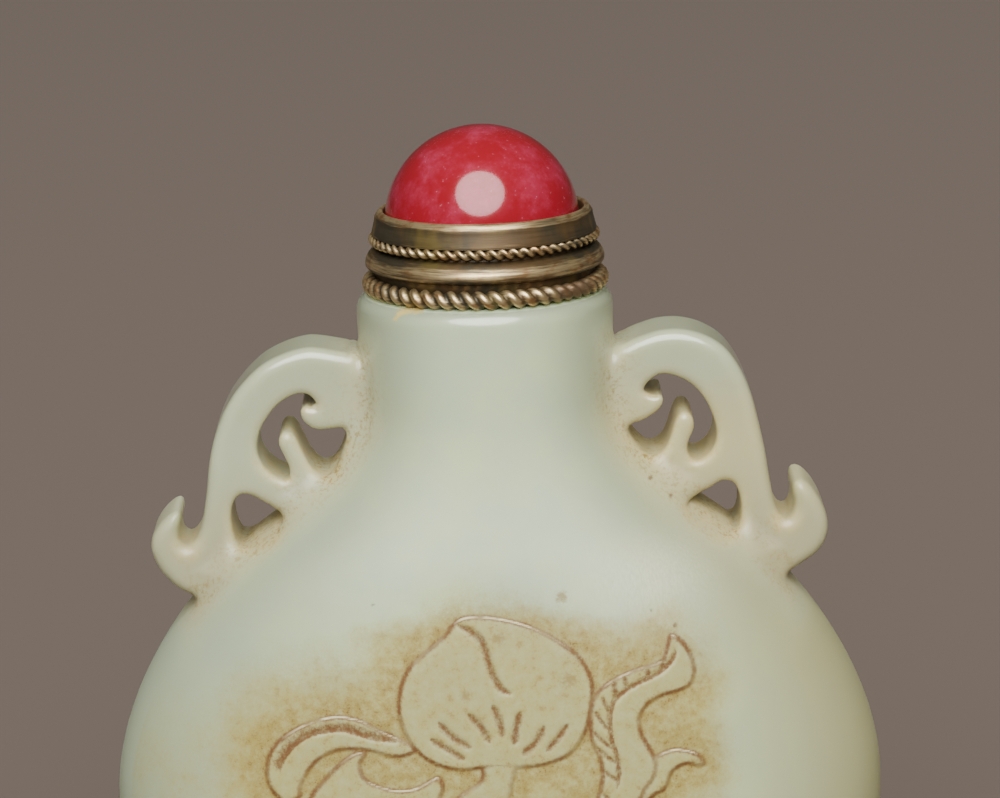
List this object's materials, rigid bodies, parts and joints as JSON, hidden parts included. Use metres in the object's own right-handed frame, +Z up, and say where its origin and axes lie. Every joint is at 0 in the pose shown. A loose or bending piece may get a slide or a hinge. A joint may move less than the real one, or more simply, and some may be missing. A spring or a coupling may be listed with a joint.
{
  "type": "snuff bottle",
  "caption": "Flattened jade snuff bottle with pierced scroll handles, a low-relief peach among leaves, and a stopper: a domed red stone in a roped brass collar.",
  "frame": {"origin": "middle of the foot's underside, on the surface that the bottle stands on", "axes": "+Z up through the neck, +X from the left handle to the right one, and the carved front faces -Y"},
  "size_m": [0.051, 0.0236, 0.0709],
  "materials": {
    "jade": "gloss",
    "red_stone": "polished",
    "brass": "satin",
    "dark_brass": "satin"
  },
  "bodies": {
    "root": {"bottle": "jade", "stopper_collar": "brass", "stopper_base_rope": "dark_brass", "stopper_fine_rope": "dark_brass", "stopper_stone": "red_stone"}
  },
  "joints": []
}
